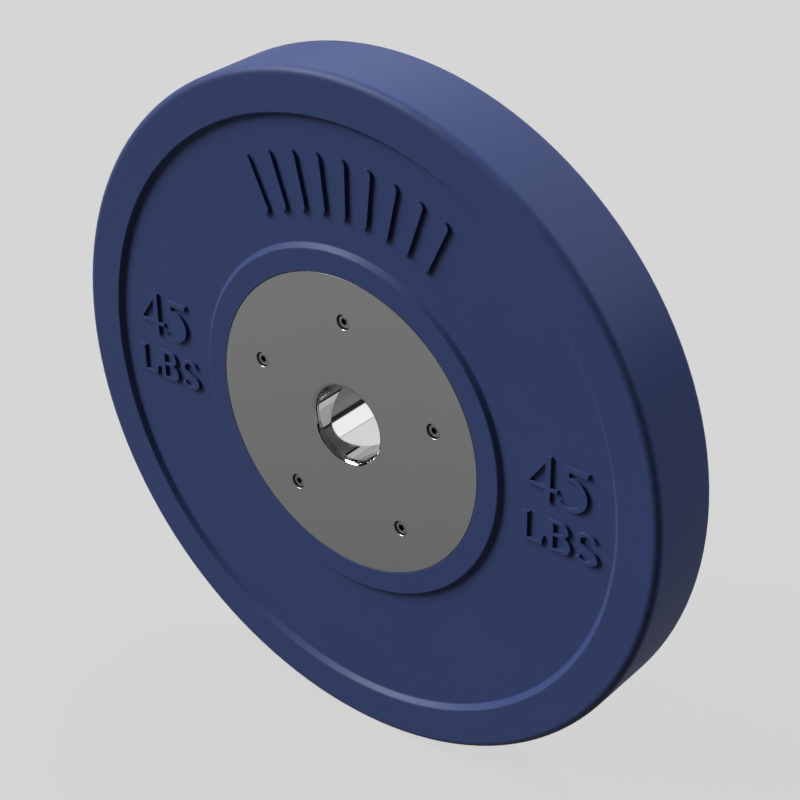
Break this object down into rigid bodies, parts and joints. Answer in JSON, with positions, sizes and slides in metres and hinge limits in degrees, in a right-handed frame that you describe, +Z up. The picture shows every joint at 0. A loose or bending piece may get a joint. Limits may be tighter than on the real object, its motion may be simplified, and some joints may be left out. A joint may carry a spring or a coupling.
{
  "type": "bumper plate",
  "caption": "Round rubber bumper plate with bolted steel hub discs and a sleeved bore, for loading on a barbell.",
  "frame": {"origin": "middle of the bore, halfway through the plate", "axes": "+Y along the bore from the front face to the rear face, +Z up through the ribs and the top screw, +X to the right as seen from the front"},
  "size_m": [0.45, 0.054, 0.45],
  "materials": {
    "rubber": "matte",
    "core": "matte",
    "sleeve": "polished",
    "disc": "satin",
    "screw": "satin",
    "washer": "satin"
  },
  "bodies": {
    "root": {"rubber_tyre": "rubber", "iron_core": "core", "bore_sleeve": "sleeve", "front_hub_disc": "disc", "rear_hub_disc": "disc", "front_screw_1": "screw", "front_screw_2": "screw", "front_screw_3": "screw", "front_screw_4": "screw", "front_screw_5": "screw", "rear_screw_1": "screw", "rear_screw_2": "screw", "rear_screw_3": "screw", "rear_screw_4": "screw", "rear_screw_5": "screw", "front_lock_washer_1": "washer", "front_lock_washer_2": "washer", "front_lock_washer_3": "washer", "front_lock_washer_4": "washer", "front_lock_washer_5": "washer", "rear_lock_washer_1": "washer", "rear_lock_washer_2": "washer", "rear_lock_washer_3": "washer", "rear_lock_washer_4": "washer", "rear_lock_washer_5": "washer"}
  },
  "joints": []
}
